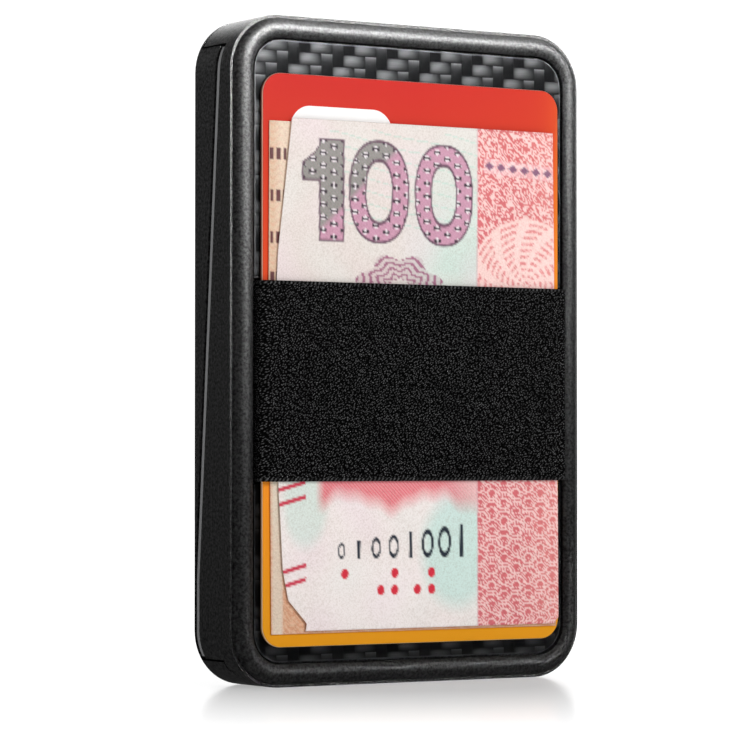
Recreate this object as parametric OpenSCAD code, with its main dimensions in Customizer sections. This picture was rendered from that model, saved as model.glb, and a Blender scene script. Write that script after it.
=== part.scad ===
// Hard-shell minimalist wallet: two plastic half shells with carbon plates, hinged along
// the bottom end and held shut by magnets, with an elastic band that keeps a card and two
// folded notes against the front. Millimetres, +Z up, front towards -Y. The origin is the
// middle of the bottom end.

/* [Case] */
// Width of the case
case_w = 63.5; // [63.5:0.5:72]
// Height of the case, standing on its hinge end
case_h = 100.5; // [99:0.5:112]
// Outside corner radius seen from the front
corner_r = 8.3; // [7:0.1:10]
// Thickness of the side walls
wall = 1.4; // [1.2:0.1:1.8]

/* [Rim bead] */
// Radius of the rounded bead that runs round each face
bead_r = 1.81; // [1.6:0.01:2]
// How far the inner edge of the bead is from the side of the case
rim_w = 3.45; // [3.2:0.05:3.6]

/* [Plates] */
// Thickness of the carbon plates
plate_t = 0.95; // [0.8:0.05:1]
// Gap between a plate and the rim round it
plate_gap = 0.35; // [0.2:0.05:0.6]

/* [Seam] */
// Depth of the side seam near the bottom, towards the back
seam_low_y = 4.45; // [3.8:0.05:4.5]
// Depth of the side seam at the top, towards the front
seam_high_y = -1.8; // [-2.2:0.1:0]
// Width of the seam between the two shells
seam_w = 1.4; // [1.2:0.1:1.6]

/* [Hinge] */
// Radius of the hinge knuckles
knuckle_r = 1.25; // [1.2:0.05:1.4]
// Diameter of the hinge pin
pin_d = 1.1; // [1:0.1:1.2]
// Number of knuckles
knuckles = 5; // [3:2:9]

/* [Band] */
// Width of the elastic band
band_w = 29.9; // [20:0.1:36]
// Height of the middle of the band above the bottom end
band_mid_z = 45.65; // [40:0.05:55]
// Thickness of the elastic
band_t = 0.8; // [0.6:0.1:0.8]

/* [Hidden] */
$fn = 64;
eps = 0.02;
half_w = case_w / 2;

// Depths of the case's layers, from the outside inwards. The back has the same ones.
ledge_y = 5.2;
bead_y = 4.84;
bead_in = 2.2;
plate_y = 5.9;
web_y = 4.85;
web_t = 0.8;
cavity_y = web_y - web_t;
tape_t = plate_y - plate_t - web_y;

// Ends of the cavity, the top cap over the lid and the step under the front shell.
floor_z = 1.6;
cap_z = case_h - 4.5;
step_z = 3.95;
cap_back_y = 4.5;
step_front_y = -1.3;
slant_low_z = 16;
part_gap = 0.15;

hinge_y = -1.3;
hinge_z = knuckle_r;
hinge_len = 42;
running = 0.05;
knuckle_clear = 0.15;
knuckle_root = 0.6;
knuckle_play = 0.1;
washer_t = 0.08;
knuckle_len = hinge_len / knuckles;

// Layers held on the front plate, measured outwards from it.
card_w = 53.98;
card_h = 85.6;
card_t = 0.76;
card_r = 3.18;
card_z = 6.07;
layer_gap = 0.04;
note_t = 0.28;
card_back = plate_y + 0.06;
card_front = card_back + card_t;
inner_note_front = card_front + layer_gap + note_t;
outer_note_front = inner_note_front + layer_gap + note_t;
band_back = outer_note_front + layer_gap;
band_front = band_back + band_t;

// Path of the elastic round the edge of the plate and in behind the web.
bend_r = 0.35;
tuck_r = 0.2;
leg_x = half_w - rim_w - 0.45;
bend_x = leg_x - band_t - bend_r;
tuck_x = leg_x - band_t - tuck_r;
band_end_x = 21.5;
band_low_z = band_mid_z - band_w / 2;
slot_x = leg_x - band_t - 0.25;
slot_len = band_w + 0.7;
slot_reach = 4;
web_slot_w = 1.3;

// Small metal parts.
bar_w = 5.2;
bar_t = 0.8;
bar_len = band_w + 9;
bar_x = 24.4;
screw_off = band_w / 2 + 2.6;
screw_d = 1.3;
head_d = 2.3;
head_t = 0.4;
boss_d = 3.2;
stake_d = 1.4;
stake_in = 4;
stake_head = 0.25;
shield_t = 0.3;
shield_w = 54;
shield_h = 82;
shield_z = 8;
shield_r = 4;
tape_in = 0.6;
tape_r = 3.5;
notch_w = 8.6;
magnet_d = 5;
magnet_t = 2;
magnet_x = 16;
magnet_y = 1.3;
shelf_t = 1.5;
keeper_t = 0.5;
keeper_len = 56;
keeper_w = 4.2;
keeper_screw_x = 25;
screw_clear = 0.2;
leaf_w = 11;
leaf_t = 0.2;
leaf_len = 66;
leaf_tab = 6;
leaf_ramp = 18;
leaf_rise = 0.9;
leaf_z = 15;
pad_w = 30;
pad_h = 70;
pad_z = 14;
pad_t = 0.6;

// A rounded rectangle standing in the X-Z plane, centred on X, between two depths.
module panel(w, h, r, y0, y1, z0 = 0) {
  translate([0, y1, z0])
    rotate([90, 0, 0])
      linear_extrude(y1 - y0)
        rounded(w, h, r);
}

module rounded(w, h, r) {
  translate([-w / 2, r])
    square([w, h - 2 * r]);
  translate([-w / 2 + r, 0])
    square([w - 2 * r, h]);
  for (x = [-1, 1], z = [r, h - r])
    translate([x * (w / 2 - r), z])
      circle(r);
}

// A cylinder along X, centred on X = 0 unless x0 is given.
module rod(r, len, y, z, x = 0) {
  translate([x - len / 2, y, z])
    rotate([0, 90, 0])
      cylinder(r = r, h = len);
}

// A cylinder along Y from y0 to y1.
module stud(d, x, z, y0, y1) {
  translate([x, y0, z])
    rotate([-90, 0, 0])
      cylinder(d = d, h = y1 - y0);
}

// The bead round a face, as four straight rods and four quarter rings.
module bead(y) {
  straight_x = case_w - 2 * corner_r;
  straight_z = case_h - 2 * corner_r;
  for (z = [bead_in, case_h - bead_in])
    rod(bead_r, straight_x, y, z);
  for (x = [-1, 1])
    translate([x * (half_w - bead_in), y, corner_r])
      cylinder(r = bead_r, h = straight_z);
  corners = [[1, 1, 0], [-1, 1, 90], [-1, -1, 180], [1, -1, 270]];
  for (c = corners)
    translate([
      c[0] * (half_w - corner_r), y,
      case_h / 2 + c[1] * (case_h / 2 - corner_r)
    ])
      rotate([90, 0, 0])
        rotate([0, 0, c[2]])
          rotate_extrude(angle = 90)
            translate([corner_r - bead_in, 0])
              circle(bead_r);
}

// One face of the case: the wall with its ledge, the bead, and the window for the plate.
module face_shell(side) {
  reach = 12;
  window_w = case_w - 2 * rim_w;
  window_h = case_h - 2 * rim_w;
  difference() {
    union() {
      panel(case_w, case_h, corner_r, -ledge_y, ledge_y);
      bead(side * bead_y);
    }
    if (side < 0) panel(window_w, window_h, corner_r - rim_w, -reach, -web_y, rim_w);
    if (side > 0) panel(window_w, window_h, corner_r - rim_w, web_y, reach, rim_w);
    if (side < 0)
      panel(case_w - 2 * wall, cap_z - floor_z, corner_r - wall, -cavity_y, reach, floor_z);
    if (side > 0)
      panel(case_w - 2 * wall, cap_z - floor_z, corner_r - wall, -reach, cavity_y, floor_z);
  }
}

// The part of the Y-Z plane that belongs to the lid, grown forwards by g.
module lid_side(g) {
  far = 12;
  over = case_h + 5;
  slant = seam_w / 2 - part_gap;
  translate([-half_w - 5, 0, 0])
    rotate([90, 0, 90])
      linear_extrude(case_w + 10)
        polygon([
          [step_front_y - g, -5],
          [step_front_y - g, step_z + g],
          [seam_low_y - sign(g) * slant - g, step_z + g],
          [seam_low_y - sign(g) * slant - g, slant_low_z],
          [seam_high_y - sign(g) * slant - g, cap_z + g],
          [cap_back_y + part_gap / 2 - g, cap_z + g],
          [cap_back_y + part_gap / 2 - g, over],
          [far, over],
          [far, -5]
        ]);
}

module knuckle_row(first, r, extra) {
  for (k = [first : 2 : knuckles - 1])
    rod(r, knuckle_len + extra, hinge_y, hinge_z,
      (k + 0.5) * knuckle_len - hinge_len / 2);
}

module pin_bore() {
  rod(pin_d / 2 + running, hinge_len + 2, hinge_y, hinge_z);
}

module band_slots() {
  for (x = [-1, 1])
    translate([x * (slot_x + slot_reach / 2), -web_y, band_mid_z])
      cube([slot_reach, 8, slot_len], center = true);
}

module stakes(side) {
  inner = cavity_y - shield_t - stake_head;
  for (x = [-1, 1], z = [shield_z + stake_in, shield_z + shield_h - stake_in]) {
    if (side < 0) stud(stake_d, x * (shield_w / 2 - stake_in), z, -cavity_y - eps, -inner);
    if (side > 0) stud(stake_d, x * (shield_w / 2 - stake_in), z, inner, cavity_y + eps);
  }
}

module clamp_points(d, y0, y1) {
  for (x = [-1, 1], z = [-1, 1])
    stud(d, x * bar_x, band_mid_z + z * screw_off, y0, y1);
}

module front_shell() {
  boss_top = -cavity_y + band_t;
  color("#2b2c2e")
    difference() {
      union() {
        difference() {
          face_shell(-1);
          lid_side(part_gap);
          rod(knuckle_r + knuckle_clear, case_w, hinge_y, hinge_z);
          translate([-half_w, hinge_y - knuckle_r - knuckle_clear, -1])
            cube([case_w, 2 * knuckle_r, 1 + hinge_z]);
        }
        difference() {
          union() {
            knuckle_row(0, knuckle_r, -knuckle_play);
            for (k = [0 : 2 : knuckles - 1])
              translate([
                k * knuckle_len - hinge_len / 2 + knuckle_play / 2,
                hinge_y - knuckle_r - knuckle_root, 0
              ])
                cube([
                  knuckle_len - knuckle_play, knuckle_r + knuckle_root, 2 * knuckle_r
                ]);
          }
          pin_bore();
        }
        clamp_points(boss_d, -cavity_y - eps, boss_top);
        stakes(-1);
      }
      for (x = [-1, 1])
        translate([x * (slot_x + web_slot_w / 2), -web_y, band_mid_z])
          cube([web_slot_w, 4, slot_len], center = true);
      clamp_points(screw_d + eps, -web_y + 0.2, 0);
      for (x = [-1, 1])
        translate([x * magnet_x, magnet_y, cap_z - eps])
          cylinder(d = magnet_d + 0.1, h = magnet_t + 0.1);
    }
}

module rear_shell() {
  shelf_z = cap_z - part_gap - shelf_t;
  shelf_front = seam_high_y + seam_w / 2;
  web_inset = wall + part_gap;
  color("#292a2c")
    difference() {
      union() {
        intersection() {
          face_shell(1);
          union() {
            lid_side(-part_gap);
            panel(case_w - 2 * web_inset, cap_z - floor_z, corner_r - web_inset,
              cavity_y - eps, web_y + eps, floor_z);
          }
        }
        intersection() {
          panel(case_w, case_h, corner_r, -ledge_y, ledge_y);
          rod(knuckle_r, case_w, hinge_y, hinge_z);
        }
        translate([-hinge_len / 2, hinge_y, 0])
          cube([hinge_len, knuckle_r + knuckle_root, 2 * knuckle_r]);
        translate([-half_w + wall / 2, shelf_front, shelf_z])
          cube([case_w - wall, cavity_y - shelf_front + eps, shelf_t]);
        stakes(1);
      }
      knuckle_row(0, knuckle_r + knuckle_root + eps, knuckle_play);
      pin_bore();
      for (x = [-1, 1])
        translate([x * keeper_screw_x, magnet_y, shelf_z - eps])
          cylinder(d = screw_d + eps, h = shelf_t - 0.3);
    }
}

// A carbon plate, notched for the elastic band when notched is true.
module carbon_plate(side, notched) {
  w = case_w - 2 * (rim_w + plate_gap);
  h = case_h - 2 * (rim_w + plate_gap);
  r = corner_r - rim_w - plate_gap;
  y0 = side < 0 ? -plate_y : plate_y - plate_t;
  color("#1d1f22")
    difference() {
      panel(w, h, r, y0, y0 + plate_t, rim_w + plate_gap);
      if (notched) band_slots();
    }
}

module plate_tape(side, notched) {
  inset = rim_w + plate_gap + tape_in;
  y0 = side < 0 ? -web_y - tape_t : web_y;
  color("#15181a")
    difference() {
      panel(case_w - 2 * inset, case_h - 2 * inset, tape_r, y0, y0 + tape_t, inset);
      if (notched) band_slots();
    }
}

module shield(side) {
  y0 = side < 0 ? -cavity_y : cavity_y - shield_t;
  color("#a9adb0")
    difference() {
      panel(shield_w, shield_h, shield_r, y0, y0 + shield_t, shield_z);
      for (x = [-1, 1], z = [shield_z + stake_in, shield_z + shield_h - stake_in])
        stud(stake_d + 0.2, x * (shield_w / 2 - stake_in), z, y0 - 1, y0 + shield_t + 1);
      if (side < 0)
        for (x = [-1, 1])
          translate([x * shield_w / 2, y0, band_mid_z])
            cube([2 * notch_w, 4, bar_len + 2], center = true);
    }
}

// The elastic: a flat run over the front, round the plate's edge and tucked in behind.
module elastic_band() {
  translate([0, 0, band_low_z])
    color("#161719") {
      translate([-bend_x, -band_front, 0])
        cube([2 * bend_x, band_t, band_w]);
      for (s = [0, 1])
        mirror([s, 0, 0]) {
          translate([bend_x, -band_back + bend_r, 0])
            ring_quarter(bend_r, bend_r + band_t, -90);
          translate([leg_x - band_t, -band_back + bend_r, 0])
            cube([band_t, band_back - bend_r - cavity_y - tuck_r, band_w]);
          translate([tuck_x, -cavity_y - tuck_r, 0])
            ring_quarter(tuck_r, tuck_r + band_t, 0);
          translate([band_end_x, -cavity_y, 0])
            cube([tuck_x - band_end_x, band_t, band_w]);
        }
    }
}

module ring_quarter(r_in, r_out, turn) {
  rotate([0, 0, turn])
    intersection() {
      difference() {
        cylinder(r = r_out, h = band_w);
        translate([0, 0, -1])
          cylinder(r = r_in, h = band_w + 2);
      }
      cube([r_out + 1, r_out + 1, band_w]);
    }
}

// Two bars inside the front shell that hold the elastic's tucked ends.
module band_clamp_bars() {
  y0 = -cavity_y + band_t;
  color("#8f9498")
    difference() {
      for (x = [-1, 1])
        translate([x * bar_x, y0 + bar_t / 2, band_mid_z])
          cube([bar_w, bar_t, bar_len], center = true);
      clamp_points(screw_d + screw_clear, y0 - 1, y0 + bar_t + 1);
      clamp_points(head_d + screw_clear, y0 + bar_t - head_t, y0 + bar_t + 1);
    }
}

// Pan-head screws, sunk in the bars.
module clamp_screws() {
  y0 = -cavity_y + band_t + bar_t - head_t;
  color("#c4c7ca") {
    clamp_points(head_d, y0, y0 + head_t);
    clamp_points(screw_d, -web_y + 0.3, y0 + eps);
  }
}

// The light strip seen in the side seam, with a flange bonded inside the front shell.
module seam_seal() {
  strip = 0.7;
  strip_back = 0.2;
  flange = 2.2;
  flange_t = 0.6;
  top = cap_z - 0.4;
  flange_low = slant_low_z + 14;
  flange_high = top - 8;
  color("#a7aaac") {
    intersection() {
      rim_ring(strip_back, wall);
      seal_run(strip / 2, strip / 2, step_z + 0.5, top);
    }
    intersection() {
      rim_ring(wall, wall + flange_t);
      seal_run(flange, strip / 2, flange_low, flange_high);
    }
  }
}

// A wall that follows the case's outline, between two distances in from its outside.
module rim_ring(outer, inner) {
  difference() {
    panel(case_w - 2 * outer, case_h - 2 * outer, corner_r - outer, -ledge_y, ledge_y, outer);
    panel(case_w - 2 * inner, case_h - 2 * inner, corner_r - inner, -9, 9, inner);
  }
}

module seal_run(ahead, behind, low, top) {
  slope = (seam_high_y - seam_low_y) / (cap_z - slant_low_z);
  knee_z = max(low, slant_low_z);
  knee_y = seam_low_y + slope * (knee_z - slant_low_z);
  top_y = seam_low_y + slope * (top - slant_low_z);
  translate([-half_w - 1, 0, 0])
    rotate([90, 0, 90])
      linear_extrude(case_w + 2)
        polygon([
          [knee_y - ahead, low],
          [knee_y - ahead, knee_z + eps],
          [top_y - ahead, top],
          [top_y + behind, top],
          [knee_y + behind, knee_z + eps],
          [knee_y + behind, low]
        ]);
}

module magnets() {
  color("#c9ccce")
    for (x = [-1, 1])
      translate([x * magnet_x, magnet_y, cap_z + 0.05])
        cylinder(d = magnet_d, h = magnet_t);
}

// Steel strip under the lid's top shelf, which the magnets pull on.
module keeper_plate() {
  top = cap_z - part_gap - shelf_t;
  color("#9a9ea2")
    difference() {
      translate([0, magnet_y, top - eps - keeper_t / 2])
        cube([keeper_len, keeper_w, keeper_t], center = true);
      for (x = [-1, 1])
        translate([x * keeper_screw_x, magnet_y, top - 2])
          cylinder(d = screw_d + screw_clear, h = 4);
    }
}

module keeper_screws() {
  top = cap_z - part_gap - shelf_t;
  color("#c4c7ca")
    for (x = [-1, 1])
      translate([x * keeper_screw_x, magnet_y, 0]) {
        translate([0, 0, top - keeper_t - 2 * eps - head_t])
          cylinder(d = head_d, h = head_t);
        translate([0, 0, top - keeper_t - 3 * eps])
          cylinder(d = screw_d, h = keeper_t + shelf_t - 0.5);
      }
}

// A bent strip of spring steel on the lid's inside, which presses the cards together.
module card_spring() {
  root_y = cavity_y - shield_t;
  steps = [
    [root_y, leaf_z],
    [root_y, leaf_z + leaf_tab],
    [root_y - leaf_rise, leaf_z + leaf_tab + leaf_ramp],
    [root_y - leaf_rise, leaf_z + leaf_len - leaf_tab - leaf_ramp],
    [root_y, leaf_z + leaf_len - leaf_tab],
    [root_y, leaf_z + leaf_len]
  ];
  back = [for (i = [len(steps) - 1 : -1 : 0]) steps[i] - [leaf_t, 0]];
  color("#b3b7ba")
    translate([-leaf_w / 2, 0, 0])
      rotate([90, 0, 90])
        linear_extrude(leaf_w)
          polygon(concat(steps, back));
}

// Felt pad inside the front shell, so that cards aren't scratched.
module card_pad() {
  y0 = -cavity_y + shield_t;
  color("#303338")
    translate([-pad_w / 2, y0, pad_z])
      cube([pad_w, pad_t, pad_h]);
}

module hinge_pin() {
  color("#c9ccce")
    rod(pin_d / 2, hinge_len - 0.6, hinge_y, hinge_z);
}

module hinge_washers() {
  color("#d9c58a")
    difference() {
      for (k = [1 : knuckles - 1])
        rod(knuckle_r - 0.15, washer_t, hinge_y, hinge_z, k * knuckle_len - hinge_len / 2);
      pin_bore();
    }
}

module bank_card() {
  color("#d9583a")
    panel(card_w, card_h, card_r, -card_front, -card_back, card_z);
}

module note_slab(front, outline) {
  translate([0, -front + note_t, 0])
    rotate([90, 0, 0])
      linear_extrude(note_t)
        polygon(outline);
}

module inner_note() {
  color("#e2c9a6")
    note_slab(inner_note_front, [
      [-25.6, 8.0],
      [26.3, 8.0],
      [26.3, 84.4],
      [-26.0, 84.5],
      [-26.1, 60.0]
    ]);
}

module outer_note() {
  color("#f1e9e6")
    note_slab(outer_note_front, [
      [-19.8, 8.4],
      [25.6, 8.4],
      [26.5, 9.4],
      [26.1, 85.0],
      [-22.3, 85.0],
      [-23.0, 79.0],
      [-24.7, 65.0],
      [-24.9, 61.0],
      [-24.6, 29.5],
      [-23.9, 17.6],
      [-22.9, 13.0]
    ]);
}

front_shell();
carbon_plate(-1, true);  // front_plate
plate_tape(-1, true);  // front_plate_tape
shield(-1);  // front_shield
elastic_band();
band_clamp_bars();
clamp_screws();
seam_seal();
magnets();
rear_shell();
carbon_plate(1, false);  // rear_plate
plate_tape(1, false);  // rear_plate_tape
shield(1);  // rear_shield
keeper_plate();
keeper_screws();
card_spring();
card_pad();
hinge_pin();
hinge_washers();
bank_card();
inner_note();
outer_note();
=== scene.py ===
import math

import bpy
import numpy as np
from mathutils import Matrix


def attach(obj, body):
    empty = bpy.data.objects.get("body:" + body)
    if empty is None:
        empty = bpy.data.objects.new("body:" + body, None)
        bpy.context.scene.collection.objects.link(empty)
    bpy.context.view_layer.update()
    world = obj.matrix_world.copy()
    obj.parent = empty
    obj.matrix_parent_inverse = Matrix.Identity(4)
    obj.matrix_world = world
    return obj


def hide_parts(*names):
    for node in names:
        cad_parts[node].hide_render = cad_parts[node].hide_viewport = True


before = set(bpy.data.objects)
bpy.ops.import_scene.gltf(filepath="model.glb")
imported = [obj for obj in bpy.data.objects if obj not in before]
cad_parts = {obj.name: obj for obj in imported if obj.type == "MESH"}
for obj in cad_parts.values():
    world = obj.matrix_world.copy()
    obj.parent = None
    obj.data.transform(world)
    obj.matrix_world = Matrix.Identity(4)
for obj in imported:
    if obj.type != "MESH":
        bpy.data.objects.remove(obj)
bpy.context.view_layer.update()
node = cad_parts

# ---------------------------------------------------------------------------
# Black shell plastic: both half shells are moulded in glass-filled nylon with a
# fine spark-eroded grain and a satin sheen. Their edges are lightly broken, and
# they are hinged along the bottom end.


def new_material(name):
    """An empty material with its output and one Principled shader: (material, tree, shader)."""
    m = bpy.data.materials.new(name)
    m.use_nodes = True
    t = m.node_tree
    t.nodes.clear()
    out = t.nodes.new("ShaderNodeOutputMaterial")
    s = t.nodes.new("ShaderNodeBsdfPrincipled")
    t.links.new(s.outputs[0], out.inputs[0])
    return m, t, s


def put(t, value, socket):
    """Links value into socket if it is a node's output, or else writes it there."""
    if isinstance(value, bpy.types.NodeSocket):
        t.links.new(value, socket)
    else:
        socket.default_value = value


def calc(t, op, a, b=0.0, c=0.0):
    """One Math node's result, op applied to a, b and c."""
    n = t.nodes.new("ShaderNodeMath")
    n.operation = op
    for s, v in zip(n.inputs, (a, b, c)):
        put(t, v, s)
    return n.outputs[0]


def clamp(t, a):
    """a kept between 0 and 1, min(max(a, 0), 1)."""
    return calc(t, "MINIMUM", calc(t, "MAXIMUM", a, 0.0), 1.0)


def place(t):
    """The shaded point in the wallet's own frame, in metres."""
    return t.nodes.new("ShaderNodeTexCoord").outputs["Object"]


def noise(t, where, scale, detail=4.0, rough=0.6):
    """A noise texture's value at where, its blotches about 1 / scale metres across."""
    n = t.nodes.new("ShaderNodeTexNoise")
    t.links.new(where, n.inputs["Vector"])
    n.inputs["Scale"].default_value = scale
    n.inputs["Detail"].default_value = detail
    n.inputs["Roughness"].default_value = rough
    return n.outputs[0]


def blend_colour(t, share, a, b, how="MIX"):
    """Colour a where share is 0, b where it is 1, or a dyed by b where how is MULTIPLY."""
    n = t.nodes.new("ShaderNodeMix")
    n.data_type = "RGBA"
    n.blend_type = how
    put(t, share, n.inputs[0])
    for v, s in ((a, n.inputs[6]), (b, n.inputs[7])):
        put(t, v if isinstance(v, bpy.types.NodeSocket) else (*v, 1.0), s)
    return n.outputs[2]


def bump(t, s, height, distance, strength=1.0):
    """Tilts the shader's normal by height, a value of 1 standing distance metres proud."""
    n = t.nodes.new("ShaderNodeBump")
    n.inputs["Distance"].default_value = distance
    n.inputs["Strength"].default_value = strength
    t.links.new(height, n.inputs["Height"])
    t.links.new(n.outputs[0], s.inputs["Normal"])


def dress(piece, material):
    """Gives the named piece one material in place of what it has, and returns the piece."""
    o = node[piece]
    o.data.materials.clear()
    o.data.materials.append(material)
    return o


def break_edges(o, width, segments, sharper_than):
    """A bevel of the given width in metres on every edge that turns by more than sharper_than degrees."""
    b = o.modifiers.new("broken_edges", "BEVEL")
    b.width = width
    b.segments = segments
    b.limit_method = "ANGLE"
    b.angle_limit = math.radians(sharper_than)


shell_mat, t, s = new_material("shell_plastic")
where = place(t)
grain = noise(t, where, 2300, 2)
mottle = noise(t, where, 160, 3)
speckle = clamp(t, calc(t, "MULTIPLY_ADD", grain, 3.0, -1.0))
pit_black, grain_black = (0.002, 0.002, 0.0021), (0.017, 0.017, 0.0175)
put(t, blend_colour(t, speckle, pit_black, grain_black), s.inputs["Base Color"])
put(t, calc(t, "MULTIPLY_ADD", mottle, 0.1, 0.47), s.inputs["Roughness"])
# The pits, where speckle is 0, are partly a dark metal, so they mirror less light than the grains.
pit_metal = 0.62
put(t, calc(t, "MULTIPLY_ADD", speckle, -pit_metal, pit_metal), s.inputs["Metallic"])
s.inputs["Specular IOR Level"].default_value = 0.95
bump(t, s, grain, 0.00006, 0.7)
for name in ("front_shell", "rear_shell"):
    break_edges(dress(name, shell_mat), 0.00024, 3, 35)

# ---------------------------------------------------------------------------
# Carbon plates: 2x2 twill laminate under clear coat, stuck into the shells' rims.
# The tows lie 1.96 mm apart across and 1.88 mm apart up, and each row steps one
# tow to the left going down.


def coordinates(t, where):
    """The x, y and z of the point where, in metres."""
    xyz = t.nodes.new("ShaderNodeSeparateXYZ")
    t.links.new(where, xyz.inputs[0])
    return xyz.outputs[0], xyz.outputs[1], xyz.outputs[2]


def half_wave(t, a):
    """sin(pi a): 0 at a tow's borders, where a is 0 or 1, and 1 along its middle."""
    return calc(t, "SINE", calc(t, "MULTIPLY", a, math.pi))


def pick(t, share, a, b):
    """a where share is 1 and b where it is 0: share a + (1 - share) b."""
    rest = calc(t, "SUBTRACT", 1.0, share)
    return calc(t, "ADD", calc(t, "MULTIPLY", share, a), calc(t, "MULTIPLY", rest, b))


def fibre(t, where, stretch):
    """Noise drawn out into fine lines, its repeats per metre on each axis being stretch."""
    n = t.nodes.new("ShaderNodeMapping")
    t.links.new(where, n.inputs[0])
    n.inputs["Scale"].default_value = stretch
    return noise(t, n.outputs[0], 1, 2)


def past_box(t, x, z, middle, half):
    """How far (x, z) lies outside a box: length(max(|p - middle| - half, 0))."""
    squares = []
    for at, centre, reach in zip((x, z), middle, half):
        off = calc(t, "ABSOLUTE", calc(t, "SUBTRACT", at, centre))
        past = calc(t, "MAXIMUM", calc(t, "SUBTRACT", off, reach), 0.0)
        squares.append(calc(t, "MULTIPLY", past, past))
    return calc(t, "SQRT", calc(t, "ADD", *squares))


tow_w, tow_h = 0.0019625, 0.00188
weave_left, weave_top = -0.0182, 0.09695
plate_middle, plate_half, plate_corner = 0.05025, (0.02795, 0.04645), 0.0045
edge_highlight_w = 0.00017
carbon_mat, t, s = new_material("carbon_twill")
where = place(t)
x, _, z = coordinates(t, where)
across = calc(t, "DIVIDE", calc(t, "SUBTRACT", x, weave_left), tow_w)
down = calc(t, "DIVIDE", calc(t, "SUBTRACT", weave_top, z), tow_h)
row = calc(t, "FLOOR", down)
in_row = calc(t, "FRACT", down)
stepped = calc(t, "ADD", across, row)
weft_place = calc(t, "FLOORED_MODULO", stepped, 4.0)
weft = calc(t, "LESS_THAN", weft_place, 2.0)
weft_along = calc(t, "DIVIDE", weft_place, 2.0)
# The upright tow in column c lies on top for the two rows where no weft does.
column = calc(t, "FLOOR", across)
in_column = calc(t, "FRACT", across)
warp_place = calc(t, "FLOORED_MODULO", calc(t, "ADD", calc(t, "ADD", down, column), 2.0), 4.0)
warp_along = calc(t, "DIVIDE", warp_place, 2.0)
weft_bow, warp_bow = half_wave(t, weft_along), half_wave(t, warp_along)
weft_round, warp_round = half_wave(t, in_row), half_wave(t, in_column)
weft_root = calc(t, "POWER", calc(t, "MAXIMUM", weft_round, 0.001), 0.5)
warp_root = calc(t, "POWER", calc(t, "MAXIMUM", warp_round, 0.001), 0.5)
weft_high = calc(t, "MULTIPLY", weft_bow, weft_root)
warp_high = calc(t, "MULTIPLY", calc(t, "ABSOLUTE", warp_bow), warp_root)
height = pick(t, weft, weft_high, warp_high)
weft_fibre = fibre(t, where, (150, 1, 9000))
warp_fibre = fibre(t, where, (9000, 1, 150))
# Painted sheen: a weft tow is drawn bright along its middle and dulling to its right, and a warp tow bright
# only at its start, for the light the fibres catch.
weft_painted_sheen = calc(t, "POWER", calc(t, "MAXIMUM", weft_bow, 0.0), 0.6)
weft_painted_sheen = calc(t, "MULTIPLY", weft_painted_sheen, calc(t, "MULTIPLY_ADD", weft_along, -0.75, 1.0))
weft_painted_sheen = calc(t, "MULTIPLY", weft_painted_sheen, calc(t, "POWER", calc(t, "MAXIMUM", weft_round, 0.0), 0.7))
weft_fibres_and_sheen = calc(t, "MULTIPLY", calc(t, "MULTIPLY_ADD", weft_fibre, 0.8, 0.6), weft_painted_sheen)
warp_painted_sheen = calc(t, "MULTIPLY_ADD", calc(t, "EXPONENT", calc(t, "MULTIPLY", warp_along, -9.0)), 0.7, 0.02)
warp_fibres_and_sheen = calc(t, "MULTIPLY", calc(t, "MULTIPLY_ADD", warp_fibre, 0.8, 0.6), warp_painted_sheen)
tow_tone_and_sheen = pick(t, weft, weft_fibres_and_sheen, warp_fibres_and_sheen)
# How far in from the plate's rounded outline: the corner radius less the distance past the straight part.
straight = (plate_half[0] - plate_corner, plate_half[1] - plate_corner)
inwards = calc(t, "SUBTRACT", plate_corner, past_box(t, x, z, (0.0, plate_middle), straight))
# A lighter band along the plate's cut edge is painted highlight, the light its chamfer catches.
painted_edge_highlight = calc(t, "LESS_THAN", inwards, edge_highlight_w)
# The weave's colour holds the fibres' own streaks and the painted sheen of the tows.
weave_and_sheen = blend_colour(t, tow_tone_and_sheen, (0.0035, 0.0036, 0.0038), (0.06, 0.061, 0.063))
put(t, blend_colour(t, painted_edge_highlight, weave_and_sheen, (0.045, 0.046, 0.048)), s.inputs["Base Color"])
s.inputs["Roughness"].default_value = 0.42
s.inputs["Metallic"].default_value = 1.0
s.inputs["Coat Weight"].default_value = 0.03
s.inputs["Coat Roughness"].default_value = 0.08
bump(t, s, height, 0.00012, 0.5)
for name in ("front_plate", "rear_plate"):
    break_edges(dress(name, carbon_mat), 0.00022, 2, 50)

# ---------------------------------------------------------------------------
# Elastic band: 30 mm wide woven rubber elastic with a pebbled face and ribbed
# selvedges, stretched over the front, taken round both edges of the plate and
# clamped inside the front shell.


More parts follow.
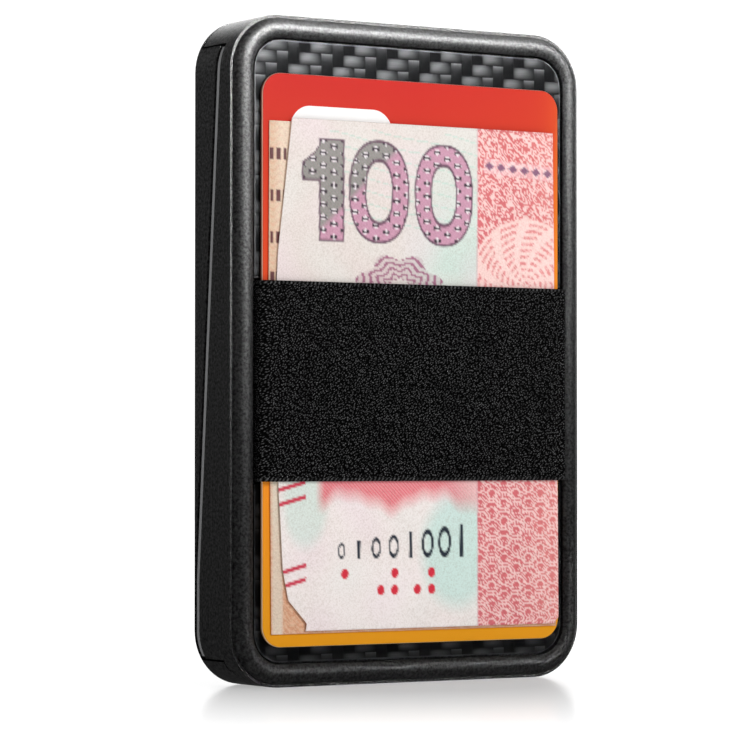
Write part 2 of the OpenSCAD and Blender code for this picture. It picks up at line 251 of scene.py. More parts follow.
def closed_sheet(name, outer, inner):
    """A closed mesh between two grids of points, outer[i, j] and inner[i, j], in metres.

    Its faces are outer's cells, inner's cells turned round, and four strips joining the two
    grids' borders. They are turned outwards by the sign of six times the volume, the sum over
    the faces of a . (b x c + c x d).
    """
    n, m = outer.shape[:2]
    count = n * m
    index = np.arange(count).reshape(n, m)
    cells = np.stack([index[:-1, :-1], index[1:, :-1], index[1:, 1:], index[:-1, 1:]], -1).reshape(-1, 4)
    rim = np.concatenate([index[0, :-1], index[:-1, -1], index[-1, :0:-1], index[:0:-1, 0]])
    after = np.roll(rim, -1)
    border = np.stack([rim, after, after + count, rim + count], -1)
    faces = np.concatenate([cells, cells[:, ::-1] + count, border])
    points = np.concatenate([outer.reshape(-1, 3), inner.reshape(-1, 3)])
    a, b, c = points[faces[:, 0]], points[faces[:, 1]], points[faces[:, 2]]
    d = points[faces[:, 3]]
    volume = np.einsum("ij,ij->i", a, np.cross(b, c) + np.cross(c, d)).sum()
    if volume < 0:
        faces = faces[:, ::-1]
    mesh = bpy.data.meshes.new(name)
    mesh.from_pydata(points.tolist(), [], faces.tolist())
    mesh.polygons.foreach_set("use_smooth", np.arange(len(faces)) < 2 * len(cells))
    o = bpy.data.objects.new(name, mesh)
    bpy.context.scene.collection.objects.link(o)
    return o


def arc(cx, cy, r, start, end, steps):
    """Points (cx + r cos a, cy + r sin a) for a from start to end degrees."""
    a = np.radians(np.linspace(start, end, steps))
    return np.stack([cx + r * np.cos(a), cy + r * np.sin(a)], -1)


# Sizes are in millimetres. The path is half the band's way round, from its tucked end to the middle.
band_t = 0.8
band_low, band_high = 30.7, 60.6
band_middle, band_half = (band_low + band_high) / 2, (band_high - band_low) / 2
path_step = 0.25
half_path = np.concatenate(
    [
        np.array([[21.5, -3.65]]),
        arc(26.85, -4.25, 0.6, 90, 0, 8),
        arc(26.7, -7.05, 0.75, 0, -90, 12),
        np.array([[0.0, -7.8]]),
    ]
)
path = np.concatenate([half_path, (half_path * [-1, 1])[-2::-1]])
run = np.concatenate([[0], np.cumsum(np.hypot(*np.diff(path, axis=0).T))])
steps = np.arange(0, run[-1], path_step)
cx, cy = np.interp(steps, run, path[:, 0]), np.interp(steps, run, path[:, 1])
tx, ty = np.gradient(cx, steps), np.gradient(cy, steps)
size = np.hypot(tx, ty)
nx, ny = ty / size, -tx / size
edge, edge_rows, flat_rows = 0.45, 7, 95
up = np.concatenate(
    [
        band_low + edge * (1 - np.cos(np.linspace(0, math.pi / 2, edge_rows)[:-1])),
        np.linspace(band_low + edge, band_high - edge, flat_rows),
        band_high - edge * (1 - np.cos(np.linspace(math.pi / 2, 0, edge_rows)[1:])),
    ]
)
# Half the thickness is t/2 sqrt(1 - q^2), q going 0 to 1 over the last 0.45 mm, so the edges are round.
q = np.clip((np.abs(up - band_middle) - band_half + edge) / edge, 0, 1)
half_t = band_t / 2 * np.sqrt(np.maximum(1 - q * q, 0.004))
ripple_high, ripple_pitch = 0.018, 0.85
ripple = ripple_high * np.sin(2 * math.pi * steps / ripple_pitch)[None, :] * (q > 0)[:, None]
rows = up[:, None] + 0 * cx[None, :]
ripple_room = 0.02
sides = []
for way in (1, -1):
    lift = way * (half_t[:, None] - ripple_room + ripple)
    sides.append(np.stack([cx + lift * nx, cy + lift * ny, rows], -1) * 0.001)
# The tangent runs from right to left across the front, so the outer face is the one nearer -Y.
middle = (len(up) // 2, len(steps) // 2, 1)
if sides[0][middle] > sides[1][middle]:
    sides.reverse()
band = closed_sheet("band", sides[0], sides[1])
at = band.data.attributes.new("run", "FLOAT", "POINT")
at.data.foreach_set("value", np.tile(np.tile(steps, len(up)), 2).astype(np.float32))
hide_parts("elastic_band")
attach(band, "case")

elastic_mat, t, s = new_material("woven_elastic")
where = place(t)
a = t.nodes.new("ShaderNodeAttribute")
a.attribute_name = "run"
across = a.outputs["Fac"]
zm = calc(t, "MULTIPLY", coordinates(t, where)[2], 1000.0)
# The pebbles lie in oval cells, 0.3 by 0.5 mm, leaning 35 degrees.
along = calc(t, "ADD", calc(t, "MULTIPLY", across, 0.82), calc(t, "MULTIPLY", zm, -0.57))
aslant = calc(t, "ADD", calc(t, "MULTIPLY", across, 0.57), calc(t, "MULTIPLY", zm, 0.82))
spot = t.nodes.new("ShaderNodeCombineXYZ")
put(t, along, spot.inputs[0])
put(t, calc(t, "MULTIPLY", aslant, 1.55), spot.inputs[1])
knit = t.nodes.new("ShaderNodeTexVoronoi")
knit.voronoi_dimensions = "2D"
knit.inputs["Scale"].default_value = 2.15
knit.inputs["Randomness"].default_value = 0.85
t.links.new(spot.outputs[0], knit.inputs["Vector"])
pebble = calc(t, "SUBTRACT", 1.05, calc(t, "MULTIPLY", knit.outputs["Distance"], 2.2))
selvedge_w, rib_pitch = 0.5, 0.7
from_middle = calc(t, "ABSOLUTE", calc(t, "SUBTRACT", zm, band_middle))
selvedge = calc(t, "GREATER_THAN", from_middle, band_half - selvedge_w)
turns = calc(t, "MULTIPLY", calc(t, "MULTIPLY_ADD", zm, 0.45, across), 2 * math.pi / rib_pitch)
rib = calc(t, "MULTIPLY_ADD", calc(t, "SINE", turns), 0.3, 0.35)
high = pick(t, selvedge, rib, pebble)
# The grey on the pebbles' and ribs' tops is painted highlight, the sheen the raised weave catches; the gaps
# keep the elastic's own black.
patch = calc(t, "MULTIPLY_ADD", noise(t, where, 1500, 2), 3.0, -0.85)
pebble_highlight = calc(t, "MULTIPLY", calc(t, "POWER", clamp(t, high), 2.2), patch)
gap_black, highlight_grey = (0.0014, 0.0014, 0.0014), (0.22, 0.22, 0.224)
put(t, blend_colour(t, pebble_highlight, gap_black, highlight_grey), s.inputs["Base Color"])
s.inputs["Roughness"].default_value = 0.95
s.inputs["Specular IOR Level"].default_value = 0.02
bump(t, s, high, 0.00025, 1.0)
band.data.materials.append(elastic_mat)

# ---------------------------------------------------------------------------
# Bank card: printed PVC with rounded corners and softly broken edges, held by the
# band. Its face fades from red at the top to amber at the bottom, with one white
# panel.


def rounded_outline(w, h, r, z0, inset, steps=14):
    """The rectangle w x h standing on z0 with corner radius r, moved in by inset: (x, z) points."""
    r = max(r - inset, 0.01)
    ex, low, top = w / 2 - inset - r, z0 + inset + r, z0 + h - inset - r
    return np.concatenate(
        [
            arc(ex, top, r, 0, 90, steps),
            arc(-ex, top, r, 90, 180, steps),
            arc(-ex, low, r, 180, 270, steps),
            arc(ex, low, r, 270, 360, steps),
        ]
    )


card_w, card_h, card_corner, card_low = 53.98, 85.6, 3.18, 6.07
card_front, card_back, card_soft = -6.72, -5.96, 0.2
turns = np.radians(np.linspace(0, 90, 6))
# The edge's profile is a quarter circle of 0.2 mm at each face: inset 0.2 (1 - sin a), depth 0.2 (1 - cos a).
profile = [(card_soft * (1 - np.sin(a)), card_front + card_soft * (1 - np.cos(a))) for a in turns]
profile += [(card_soft * (1 - np.sin(a)), card_back - card_soft * (1 - np.cos(a))) for a in turns[::-1]]
rings = []
for inset, depth in profile:
    ring = rounded_outline(card_w, card_h, card_corner, card_low, inset)
    rings.append(np.stack([ring[:, 0], np.full(len(ring), depth), ring[:, 1]], -1) * 0.001)
rings = np.array(rings)
n, m = rings.shape[:2]
index = np.arange(n * m).reshape(n, m)
side = np.roll(index, -1, axis=1)
faces = np.stack([index[:-1], index[1:], side[1:], side[:-1]], -1).reshape(-1, 4).tolist()
faces += [index[0].tolist(), index[-1][::-1].tolist()]
mesh = bpy.data.meshes.new("card")
mesh.from_pydata(rings.reshape(-1, 3).tolist(), [], faces)
mesh.polygons.foreach_set("use_smooth", [len(f) == 4 for f in faces])
card = bpy.data.objects.new("card", mesh)
bpy.context.scene.collection.objects.link(card)
card_mat, t, s = new_material("card_print")
x, y, z = coordinates(t, place(t))
# The fade's share is 0 at the card's foot and 1 at its top, and falls a little towards the right edge.
share = calc(t, "DIVIDE", calc(t, "SUBTRACT", z, card_low / 1000), card_h / 1000)
to_right = calc(t, "DIVIDE", calc(t, "MAXIMUM", x, 0.0), card_w / 2000)
share = calc(t, "SUBTRACT", share, calc(t, "MULTIPLY", to_right, 0.1))
share = calc(t, "SUBTRACT", share, calc(t, "MULTIPLY", calc(t, "POWER", to_right, 14.0), 0.3))
ramp = t.nodes.new("ShaderNodeValToRGB")
t.links.new(share, ramp.inputs[0])
stops = (
    (0.0, (0.72, 0.3, 0.012)),
    (0.3, (0.83, 0.26, 0.02)),
    (0.62, (0.68, 0.07, 0.018)),
    (1.0, (0.58, 0.022, 0.016)),
)
while len(ramp.color_ramp.elements) < len(stops):
    ramp.color_ramp.elements.new(0.5)
for e, (at, colour) in zip(ramp.color_ramp.elements, stops):
    e.position = at
    e.color = (*colour, 1)
# The white panel is all that lies less than its corner radius past a smaller box.
panel_middle, panel_straight, panel_corner = (-0.0131, 0.0772), (0.0056, 0.0063), 0.0035
panel_share = calc(t, "LESS_THAN", past_box(t, x, z, panel_middle, panel_straight), panel_corner)
colour = blend_colour(t, panel_share, ramp.outputs[0], (0.9, 0.9, 0.9))
# Behind the print, a pale band on the edge's rounding is painted highlight, and behind that the edge shows
# the darker core.
highlight_front, core_front = -0.00664, -0.0064
core = calc(t, "GREATER_THAN", y, core_front)
pale_edge_highlight = calc(t, "MULTIPLY", calc(t, "GREATER_THAN", y, highlight_front), calc(t, "LESS_THAN", y, core_front))
colour = blend_colour(t, calc(t, "MULTIPLY", pale_edge_highlight, 0.6), colour, (0.95, 0.86, 0.7))
colour = blend_colour(t, calc(t, "MULTIPLY", core, 0.75), colour, (0.16, 0.11, 0.07))
put(t, colour, s.inputs["Base Color"])
s.inputs["Roughness"].default_value = 0.55
s.inputs["Specular IOR Level"].default_value = 0.04
card.data.materials.append(card_mat)
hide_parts("bank_card")
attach(card, "card")

# ---------------------------------------------------------------------------
# Folded notes: two banknotes of printed cotton paper, each folded in three, held
# one over the other by the band. The outer one springs a little forwards beyond it.


def linear(rgb):
    """sRGB 0 to 255 as linear light, with the usual curve ((c + 0.055) / 1.055) ** 2.4."""
    c = np.asarray(rgb, float) / 255
    return np.where(c <= 0.04045, c / 12.92, ((c + 0.055) / 1.055) ** 2.4)


def over(base, mask, rgb):
    """base with colour rgb laid over it, mask being how opaque it is from 0 to 1."""
    return base + (linear(rgb) - base) * np.clip(mask, 0, 1)[..., None]


def soft(d, width):
    """1 where d is negative, 0 where it is over width, and smooth in between."""
    q = np.clip(1 - d / width, 0, 1)
    return q * q * (3 - 2 * q)


def fans(x, z, pitch, spokes):
    """Fish-scale fans: discs of radius pitch in staggered rows, each row laid over the one above.

    The value is 1 on the discs' rings and spokes and 0 between them.
    """
    value = np.zeros_like(x)
    rise = pitch * 0.62
    rows = np.arange(math.floor(z.min() / rise) - 2, math.ceil(z.max() / rise) + 2)
    for k in rows[::-1]:
        shift = pitch * (k % 2)
        dx = (x - shift + pitch) % (2 * pitch) - pitch
        dz = z - k * rise
        d = np.hypot(dx, dz)
        ring = np.abs((d / pitch * 2.6) % 1 - 0.5) > 0.36
        spoke = np.abs((np.arctan2(dz, dx) / math.pi * spokes) % 1 - 0.5) > 0.37
        line = np.where(d < pitch * 0.42, ring, spoke | ring | (d > pitch * 0.93))
        value = np.where(d < pitch, line, value)
    return value.astype(float)


def oval(x, z, half_w, half_h):
    """A plump oval round (0, 0), 1 on its outline: (|x / half_w|^2.3 + |z / half_h|^2.3)^(1 / 2.3)."""
    plump = 2.3
    return (np.abs(x / half_w) ** plump + np.abs(z / half_h) ** plump) ** (1 / plump)


def outer_print(x, z):
    """The outer note's print at x, z in millimetres, as linear colours.

    Tints and waved lines come first, then the large number, the wreath, the dots, bars and
    marks, and the fans of the right third, each laid over what is there.
    """
    c = np.ones(x.shape + (3,)) * linear((242, 235, 231))
    c = over(c, np.clip((z - 50) / 8, 0, 1), (223, 214, 208))
    hatch = 0.5 + 0.5 * np.sin((x + z) * 2 * math.pi / 0.62)
    cross = 0.5 + 0.5 * np.sin((x - 0.6 * z) * 2 * math.pi / 0.8)
    tint = np.clip((x + 4) / 9, 0, 1) * np.clip((z - 58) / 5, 0, 1) * np.clip(1.3 - (z - 58) / 22, 0, 1)
    c = over(c, tint * 0.8, (196, 224, 213))
    cloudy = np.sin(x * 0.35 + 1.3 * np.sin(z * 0.21)) * np.sin(z * 0.29 + 1.1 * np.sin(x * 0.17 + 2))
    c = over(c, 0.3 * np.clip(cloudy, 0, 1), (236, 214, 224))
    c = over(c, 0.25 * np.clip(-cloudy, 0, 1), (222, 232, 224))
    c = over(c, 0.16 * hatch, (228, 200, 208))
    c = over(c, 0.12 * cross * (z < 45), (226, 200, 206))
    lines = np.abs((z + 0.16 * x - 0.2 * np.sin(x * 0.35)) % 1.9 - 0.95) < 0.1
    c = over(c, 0.5 * lines * (x > -16) * (z > 69) * (z < 84), (176, 214, 200))
    # Lower half: mint tints either side of a pale middle, and a rose cloud under the band.
    c = over(c, 0.55 * soft(np.hypot((x + 20) / 3.4, (z - 27) / 5.5) - 0.8, 0.6), (198, 224, 214))
    c = over(c, 0.75 * soft(np.hypot((x - 7.5) / 6.5, (z - 20) / 8.5) - 0.75, 0.5), (193, 226, 218))
    edge = 26.4 + 1.1 * np.sin(x * 0.41 + 0.4) + 0.5 * np.sin(x * 1.27 + 1.1) * np.sin(x * 0.3)
    cloud = np.clip((z - edge) / 2.6, 0, 1) * np.clip((48 - z) / 12, 0, 1) * np.clip((x + 18.2) / 1.6, 0, 1)
    c = over(c, cloud * (0.62 + 0.3 * hatch) * np.clip(1.15 - (x - 2) / 14, 0.25, 1), (226, 78, 94))
    c = over(c, 0.22 * soft(np.hypot((x + 8) / 9, (z - 13) / 5) - 0.8, 0.6), (250, 246, 244))
    # The number: a slab 1 and two rings, mauve with a grey-green upper left, dark edges.
    inside = np.full(x.shape, -9.0)
    zeros = ((-6.9, 74.5, 5.35, 2.45, 4.75), (4.95, 74.4, 5.25, 2.35, 4.6))
    for mx, mz, half_w, hole_w, hole_h in zeros:
        rim, hole = oval(x - mx, z - mz, half_w, 7.65), oval(x - mx, z - mz, hole_w, hole_h)
        inside = np.maximum(inside, np.minimum((1 - rim) * 5.3, (hole - 1) * 2.4))
    stem = np.minimum.reduce([x + 17.5, -13.3 - x, z - 66.9, 82.0 - z])
    roof = 78.4 + (x + 20.5) * 0.75 + 0.6 * np.clip(x + 18.4, 0, 2)
    flag = np.minimum.reduce([x + 20.5, -14.0 - x, z - 75.9, roof - z, 82.0 - z])
    inside = np.maximum(inside, np.maximum(stem, flag))
    grey = soft((x + 9.5) + (76.5 - z) * 1.1, 2.0)
    fill = over(np.ones(x.shape + (3,)) * linear((200, 150, 172)), grey, (134, 142, 132))
    # Staggered bow ties: a pale lozenge with a dark wedge on its left and right.
    tie_w, tie_h = 3.75, 0.97
    gz = z / tie_h
    gx = x / tie_w + 0.5 * (np.floor(gz) % 2)
    bx, bz = np.abs(gx % 1 - 0.5) * tie_w, np.abs(gz % 1 - 0.5) * tie_h
    fill = over(fill, 0.3 * hatch, (188, 126, 156))
    fill = over(fill, soft(bx / 0.85 + bz / 0.6 - 0.78, 0.15), (232, 224, 228))
    fill = over(fill, soft(bx / 0.7 - 0.85, 0.15) * soft(bz - 0.4 * bx - 0.05, 0.06), (50, 32, 46))
    c = np.where((inside > 0)[..., None], fill, c)
    c = over(c, 0.9 * soft(np.abs(inside) - 0.08, 0.12), (86, 42, 72))
    # An engraved wreath of fine loops below the number.
    wx, wz = (x + 3.2) / 7.2, (z - 60.2) / 4.6
    wr = np.hypot(wx, wz)
    wreath = (wr < 1 + 0.12 * np.sin(7 * np.arctan2(wz, wx))) & (wr > 0.25)
    loops = np.abs((wr * 5.2 + 0.32 * np.sin(9 * np.arctan2(wz, wx))) % 1 - 0.5) > 0.3
    c = over(c, wreath * (0.22 + 0.65 * loops), (150, 70, 112))
    # Red tactile dots and slanted bars.
    for dz, places in ((16.8, (-13, -4.1, 2.6)), (14.25, (-6.6, -4.1, 0.03, 2.6))):
        for dx in places:
            c = over(c, soft(np.hypot((x - dx) / 0.68, (z - dz) / 0.78) - 0.85, 0.25), (214, 48, 66))
    for dz in (27.9, 30.1, 15.6, 17.7):
        tilt = z - dz - (x + 22) * 0.25
        c = over(c, soft(np.abs(tilt) - 0.22, 0.2) * (x < -19.9), (205, 62, 84))
    # Plain dark marks, rings and strokes by turns, growing to the right.
    for k, is_ring in enumerate((1, 0, 1, 1, 0, 1, 1, 0)):
        mx, h = -13.6 + 3.1 * k, 1.15 + 0.19 * k
        wide = 0.43 * h + 0.15
        mz = 19.1 + h
        ring = np.abs(np.hypot((x - mx) / wide, (z - mz) / h) - 0.85) - 0.13
        stroke = np.maximum(np.abs(x - mx) - 0.24, np.abs(z - mz) - h)
        c = over(c, soft(ring if is_ring else stroke, 0.12), (38, 46, 58))
    # The right third: rose ground with pale fans, and a larger pale fan in its upper half.
    border = 11.2
    rose = np.ones(x.shape + (3,)) * linear((214, 108, 114))
    rose = over(rose, np.clip((z - 66) / 22, 0, 1) * 0.5, (214, 96, 88))
    rose = over(rose, 0.5 * np.clip((x - 19) / 8, 0, 1), (232, 150, 142))
    bent = np.clip((z - 50) / 10, 0, 1)
    fx = x + bent * (0.7 * np.sin(z * 1.1 + 0.6 * x) + 0.4 * np.sin(z * 2.3 - x))
    fz = z + bent * (0.7 * np.sin(x * 1.3 - 0.5 * z) + 0.4 * np.sin(x * 2.1 + z))
    lace = 0.85 * np.clip((np.abs(z - 45.7) - 12.8) / 1.2, 0.12, 1)
    rose = over(rose, lace * fans(fx, fz, 2.3, 9), (246, 214, 210))
    big = np.hypot(x - 20.5, (z - 61) * 1.05)
    arcs = np.abs((big * 0.95) % 1 - 0.5) > 0.24
    petals = np.abs((np.arctan2(z - 61, x - 20.5) * 5.4 / math.pi + big * 0.12) % 1 - 0.5) > 0.32
    figure = soft(big - 10.6, 0.6) * (z > 55)
    rose = over(rose, figure * 0.5, (228, 140, 138))
    rose = over(rose, figure * np.where(petals | arcs, 0.78, 0.1), (250, 222, 216))
    off_ribbon = np.abs(z - 79.4 + (x - 12) * 0.07)
    ribbon_left, lozenge_w = 12.3, 2.2
    rose = over(rose, soft(off_ribbon - 1.0, 0.3) * (x > ribbon_left) * 0.45, (246, 214, 218))
    lozenge = np.abs(((x - ribbon_left) % lozenge_w) / lozenge_w - 0.5) * 1.8 + off_ribbon / 0.95
    rose = over(rose, (x > ribbon_left) * soft(lozenge - 0.62, 0.16) * 0.85, (104, 50, 100))
    c = np.where((x > border)[..., None], rose, c)
    c = over(c, 0.5 * soft(np.abs(x - border) - 0.05, 0.12), (210, 140, 150))
    return c


def inner_print(x, z):
    """The inner note's print: a warm tan ground with waved lines, fans at its foot and short dark bars."""
    c = np.ones(x.shape + (3,)) * linear((216, 186, 158))
    wave = np.abs((z + 0.8 * np.sin(x * 1.9) + 0.5 * x) % 1.15 - 0.57) < 0.2
    c = over(c, 0.4 * wave, (214, 150, 128))
    low = np.clip((26 - z) / 6, 0, 1)
    c = over(c, 0.45 * low, (226, 172, 140))
    c = over(c, low * 0.6 * fans(x, z, 1.7, 7), (205, 140, 104))
    c = over(c, 0.55 * soft(np.abs(x + 24.6) - 0.6, 0.6) * (z < 32), (226, 226, 212))
    c = over(c, 0.35 * np.clip((x + 25.4) / 1.5, 0, 1) * (z > 60), (248, 240, 224))
    bars = (np.abs((z - 76.4) % 6.2 - 3.1) < 0.9) & (np.abs((x + 26.2) % 1.15 - 0.57) < 0.36)
    c = over(c, 0.95 * bars * (x < -16) * (z > 60) * (z < 83), (84, 20, 36))
    return c


def folded_note(name, cad, body, front, left, right, low, high, lift, fine_x, ink):
    """A note folded in three, its leaves joined by folds at its left and right edges.

    Across, the centreline runs leaf, half turn, leaf, half turn, leaf; left and right give
    those edges' x at each z. Beyond the band each point springs forward by
    lift (1 - exp(-d / 3.5)), d being its distance in z from half a millimetre inside the band.
    The front leaf's printed grid is fine up to fine_x of its width, and coarser beyond.
    """
    thick, gap, spring_length, let_go = 0.075, 0.0275, 3.5, 0.5
    pitch = thick + gap
    fine_step, hidden_step, fine_share = 0.25, 1.4, 0.0049
    hidden_low, hidden_high = 31.5, 59.8
    z = np.concatenate(
        [
            np.arange(low, hidden_low, fine_step),
            np.arange(hidden_low, hidden_high, hidden_step),
            np.arange(hidden_high, high, fine_step),
            [high],
        ]
    )
    lx, rx = np.interp(z, *left), np.interp(z, *right)
    turn_r = pitch / 2
    beyond = np.linspace(fine_x, 1, 2 if fine_x == 1 else 40)
    u_fine = np.concatenate([np.arange(0, fine_x, fine_share), beyond])
    # Each stretch is (share of the width, x offset, depth from the front leaf).
    share, off, depth = [u_fine[::-1]], [0 * u_fine], [0 * u_fine]
    a = np.radians(np.linspace(0, 180, 7))[1:-1]
    share.append(0 * a)
    off.append(-turn_r * np.sin(a))
    depth.append(turn_r * (1 - np.cos(a)))
    coarse = np.linspace(0, 1, 6)
    share.append(coarse)
    off.append(0 * coarse)
    depth.append(0 * coarse + pitch)
    share.append(0 * a + 1)
    off.append(turn_r * np.sin(a))
    depth.append(pitch + turn_r * (1 - np.cos(a)))
    share.append(coarse[::-1] * 0.98 + 0.02)
    off.append(0 * coarse)
    depth.append(0 * coarse + 2 * pitch)
    share, off, depth = map(np.concatenate, (share, off, depth))
    cx = lx[:, None] + turn_r + share * (rx - lx - 2 * turn_r)[:, None] + off
    cz = z[:, None] + 0 * cx
    away = np.maximum(np.maximum(band_low + let_go - z, z - band_high + let_go), 0)
    spring = lift * (1 - np.exp(-away / spring_length))
    # The creases, two crossing waves, grow with the spring and are none on a note without it.
    crease = 0.05 * np.sin(cx * 0.21 + cz * 0.05) + 0.03 * np.sin(cx * 0.55 - cz * 0.13)
    grown = (away > 0) * spring / max(lift, 1e-6)
    cy = front + thick / 2 + depth - spring[:, None] - crease * grown[:, None]
    tx, ty = np.gradient(cx, axis=1), np.gradient(cy, axis=1)
    size = np.hypot(tx, ty) + 1e-12
    out_x, out_y = thick / 2 * ty / size, -thick / 2 * tx / size
    grids = [np.stack([cx + w * out_x, cy + w * out_y, cz], -1) * 0.001 for w in (1, -1)]
    o = closed_sheet(name, grids[0], grids[1])
    colours = np.ones((2, z.size, share.size, 4))
    colours[:, :, :, :3] = ink(cx, cz)
    colours[:, :, depth > turn_r, :3] = linear((246, 232, 222))
    at = o.data.color_attributes.new("print", "FLOAT_COLOR", "POINT")
    at.data.foreach_set("color", colours.reshape(-1).astype(np.float32))
    m, t, s = new_material(name + "_paper")
    where = place(t)
    n = t.nodes.new("ShaderNodeVertexColor")
    n.layer_name = "print"
    fuzz = noise(t, where, 3800, 2)
    worn = noise(t, where, 90, 4)
    soiled = calc(t, "MULTIPLY_ADD", worn, 0.6, -0.2)
    dirt = clamp(t, calc(t, "ADD", soiled, calc(t, "MULTIPLY_ADD", fuzz, 2.0, -0.92)))
    dyed = blend_colour(t, dirt, n.outputs[0], (0.74, 0.7, 0.66), "MULTIPLY")
    put(t, dyed, s.inputs["Base Color"])
    s.inputs["Roughness"].default_value = 0.75
    s.inputs["Specular IOR Level"].default_value = 0.25
    bump(t, s, calc(t, "MULTIPLY_ADD", worn, 2.0, fuzz), 0.00004, 0.5)
    o.data.materials.append(m)
    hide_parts(cad)
    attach(o, body)


# Each edge is a list of heights and the x that the edge has at each.
outer_left = (
    [8.4, 9.5, 10.1, 13, 17.6, 29.5, 61, 65, 79, 85],
    [-19.9, -19.7, -20.2, -22.9, -23.9, -24.6, -24.9, -24.7, -23.0, -22.3],
)
outer_right = ([8.4, 9.4, 31, 60, 85], [25.6, 26.5, 26.4, 25.8, 25.5])
inner_left = ([8.0, 60, 84.5], [-25.6, -26.1, -26.0])
inner_right = ([8.0, 31, 60, 84.5], [26.3, 26.3, 25.7, 25.4])
folded_note(
    "note_outer", "outer_note", "note_outside",
    front=-7.36, left=outer_left, right=outer_right, low=8.4, high=85.0,
    lift=0.12, fine_x=1.0, ink=outer_print,
)
folded_note(
    "note_inner", "inner_note", "note_inside",
    front=-7.04, left=inner_left, right=inner_right, low=8.0, high=84.45,
    lift=0.0, fine_x=0.2, ink=inner_print,
)

# ---------------------------------------------------------------------------
# Seam strip, tapes, shields and small metal parts: a soft strip bonded into the side seam, its light grey a
# painted highlight for the seam's chamfer, black adhesive film behind the plates, sheet aluminium shields on
# heat-formed stakes, screwed steel bars and keeper, magnets let into the shell, a felt pad, a bent leaf and a
# steel pin.


def plain(name, colour, roughness, metal, speck, speck_scale=900, grain=0.00002):
    """One plain finish: a colour, darkened by up to speck of itself by noise, with a fine grain."""
    m, t, s = new_material(name)
    where = place(t)
    n = noise(t, where, speck_scale, 3)
    dark = tuple(c * (1 - speck) for c in colour)
    put(t, blend_colour(t, n, dark, colour), s.inputs["Base Color"])
    put(t, calc(t, "MULTIPLY_ADD", n, 0.12, roughness - 0.06), s.inputs["Roughness"])
    s.inputs["Metallic"].default_value = metal
    bump(t, s, noise(t, where, speck_scale * 2.5, 2), grain, 0.5)
    return m


finishes = {
    # The seam strip's light grey is partly its own colour and partly painted highlight for the seam's
    # chamfer.
    "seam_seal": plain("seam_highlight_grey", (0.22, 0.222, 0.226), 0.5, 0, 0.1),
    "front_plate_tape": plain("tape_black", (0.02, 0.02, 0.02), 0.8, 0, 0.3),
    "front_shield": plain("sheet_aluminium", (0.62, 0.63, 0.64), 0.48, 0.55, 0.08, 300),
    "band_clamp_bars": plain("brushed_bar", (0.48, 0.49, 0.5), 0.42, 0.6, 0.15, 700),
    "clamp_screws": plain("zinc_screw", (0.55, 0.56, 0.57), 0.3, 1, 0.1, 1500),
    "magnets": plain("nickel", (0.72, 0.72, 0.7), 0.16, 1, 0.05, 800),
    "card_pad": plain("felt_grey", (0.05, 0.052, 0.058), 0.95, 0, 0.5, 2600, 0.0001),
    "hinge_pin": plain("ground_pin", (0.6, 0.6, 0.61), 0.22, 1, 0.05, 1200),
    "hinge_washers": plain("brass_shim", (0.7, 0.52, 0.22), 0.3, 1, 0.1, 1200),
    "card_spring": plain("blued_spring", (0.33, 0.35, 0.4), 0.34, 0.6, 0.1, 600),
}
for other, same in (
    ("rear_plate_tape", "front_plate_tape"),
    ("rear_shield", "front_shield"),
    ("keeper_plate", "band_clamp_bars"),
    ("keeper_screws", "clamp_screws"),
):
    finishes[other] = finishes[same]
for name, m in finishes.items():
    dress(name, m)

# ---------------------------------------------------------------------------
# Camera, lights, floor and backdrop: the wallet stands on a white table before a white wall.

turn, rise = math.radians(32.828), math.radians(1.42)
cam = bpy.data.objects.new("camera", bpy.data.cameras.new("camera"))
bpy.context.scene.collection.objects.link(cam)
cam.location = (-0.29593, -0.45432, 0.034802)
cam.rotation_euler = (math.pi / 2 + rise, 0, -turn)
cam.data.lens = 168.863
cam.data.sensor_width = 36
cam.data.shift_y = -0.0109
cam.data.clip_start = 0.01
bpy.context.scene.camera = cam


def screen(name, corners):
    """A flat object with the given four corners, in metres."""
    o = bpy.data.objects.new(name, bpy.data.meshes.new(name))
    bpy.context.scene.collection.objects.link(o)
    o.data.from_pydata(corners, [], [(0, 1, 2, 3)])
    return o


reach, floor_z = 4, -0.00002
floor_corners = [(-reach, -reach), (reach, -reach), (reach, reach), (-reach, reach)]
floor = screen("floor", [(cx, cy, floor_z) for cx, cy in floor_corners])
floor_mat, t, s = new_material("floor_white")
s.inputs["Base Color"].default_value = (0.8, 0.8, 0.8, 1)
s.inputs["Roughness"].default_value = 0.14
glow = t.nodes.new("ShaderNodeEmission")
glow.inputs[0].default_value = (1, 1, 1, 1)
glow.inputs[1].default_value = 1.3
mix = t.nodes.new("ShaderNodeMixShader")
# The floor glows, fully from about 13 cm off and less near the wallet, whose mirror image shows there.
x, y, _ = coordinates(t, place(t))
away = calc(t, "SQRT", calc(t, "ADD", calc(t, "MULTIPLY", x, x), calc(t, "MULTIPLY", y, y)))
near_r, near_glow, glow_rise = 0.025, 0.3, 6.5
beyond = calc(t, "MAXIMUM", calc(t, "SUBTRACT", away, near_r), 0.0)
fade = calc(t, "MINIMUM", calc(t, "MULTIPLY_ADD", beyond, glow_rise, near_glow), 1.0)
t.links.new(fade, mix.inputs[0])
t.links.new(s.outputs[0], mix.inputs[1])
t.links.new(glow.outputs[0], mix.inputs[2])
t.links.new(mix.outputs[0], t.nodes["Material Output"].inputs[0])
floor.data.materials.append(floor_mat)
floor.visible_glossy = False
wall = screen("backdrop", [(0.1, 1.5, -0.3), (1.5, 0.6, -0.3), (1.5, 0.6, 1.2), (0.1, 1.5, 1.2)])
wall_mat, t, s = new_material("backdrop_white")
s.inputs["Base Color"].default_value = (0, 0, 0, 1)
s.inputs["Emission Color"].default_value = (1, 1, 1, 1)
s.inputs["Emission Strength"].default_value = 1.15
wall.data.materials.append(wall_mat)
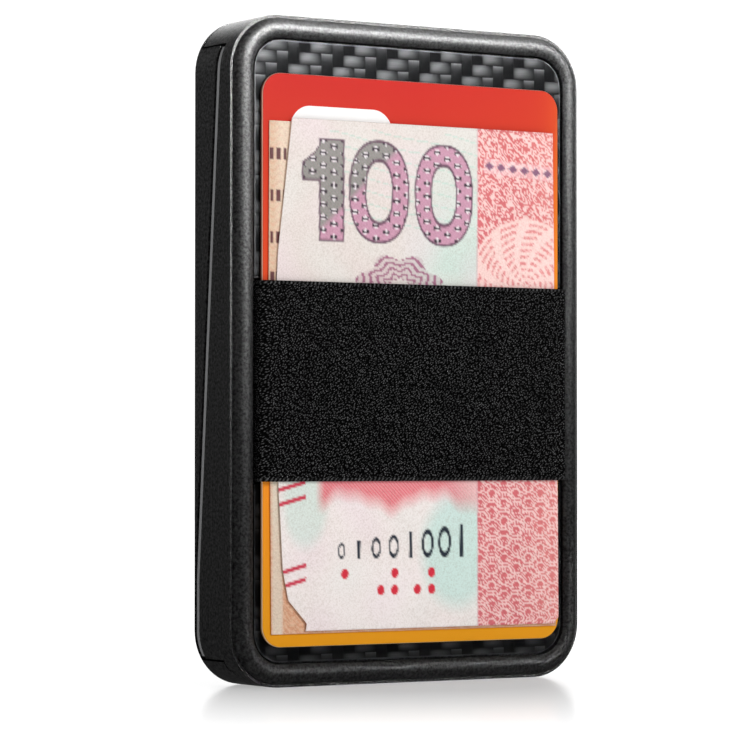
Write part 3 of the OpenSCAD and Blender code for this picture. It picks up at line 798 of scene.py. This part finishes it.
wall.visible_diffuse = False
bpy.context.scene.view_settings.view_transform = "Standard"

world = bpy.data.worlds.new("studio")
bpy.context.scene.world = world
world.use_nodes = True
world.node_tree.nodes["Background"].inputs[0].default_value = (1, 1, 1, 1)
world.node_tree.nodes["Background"].inputs[1].default_value = 0.07


def softbox(name, at, aim, size, power):
    """A soft rectangular light of size metres and power watts, at the point at and facing aim."""
    d = bpy.data.lights.new(name, "AREA")
    d.shape = "RECTANGLE"
    d.size, d.size_y = size
    d.energy = power
    o = bpy.data.objects.new(name, d)
    bpy.context.scene.collection.objects.link(o)
    o.location = at
    way = np.array(aim, float) - np.array(at, float)
    yaw = math.atan2(-way[0], way[1])
    pitch = math.atan2(way[2], math.hypot(way[0], way[1]))
    o.rotation_euler = (math.pi / 2 + pitch, 0, yaw)
    return o


def glint(name, at, aim, size, power):
    """A softbox with a 9 degree beam that is only mirrored, for the highlights on the rims."""
    o = softbox(name, at, aim, size, power)
    o.visible_diffuse = False
    o.data.spread = math.radians(9)


front = softbox("front", (0.16, -0.78, 0.42), (0, 0, 0.06), (0.4, 0.34), 4.4)
front.visible_glossy = False
softbox("overhead", (0.3, 0.0, 0.62), (0, 0, 0.1), (0.3, 0.3), 1.0)
softbox("left", (-0.62, 0.6, 0.45), (0, 0, 0.1), (0.5, 0.3), 0.45)
softbox("back", (0.35, 0.75, 0.5), (0, 0, 0.05), (0.5, 0.4), 3.0)
glint("glint", (0.12, -0.72, 0.60), (-0.04, 0, 0.225), (0.26, 0.28), 0.8)
glint("top_glint", (0.38, -0.62, 0.56), (0, 0, 0.24), (0.3, 0.28), 0.85)
glint("low_glint", (0.42, -0.66, 0.16), (0, 0, -0.075), (0.16, 0.1), 0.08)
gleam = softbox("gleam", (0.16, -0.78, 0.42), (0, 0, 0.06), (0.4, 0.3), 0.45)
gleam.visible_diffuse = False
wash = softbox("wash", (-0.85, -0.3, 0.42), (0, 0, 0.06), (0.4, 0.4), 1.0)
wash.visible_glossy = False
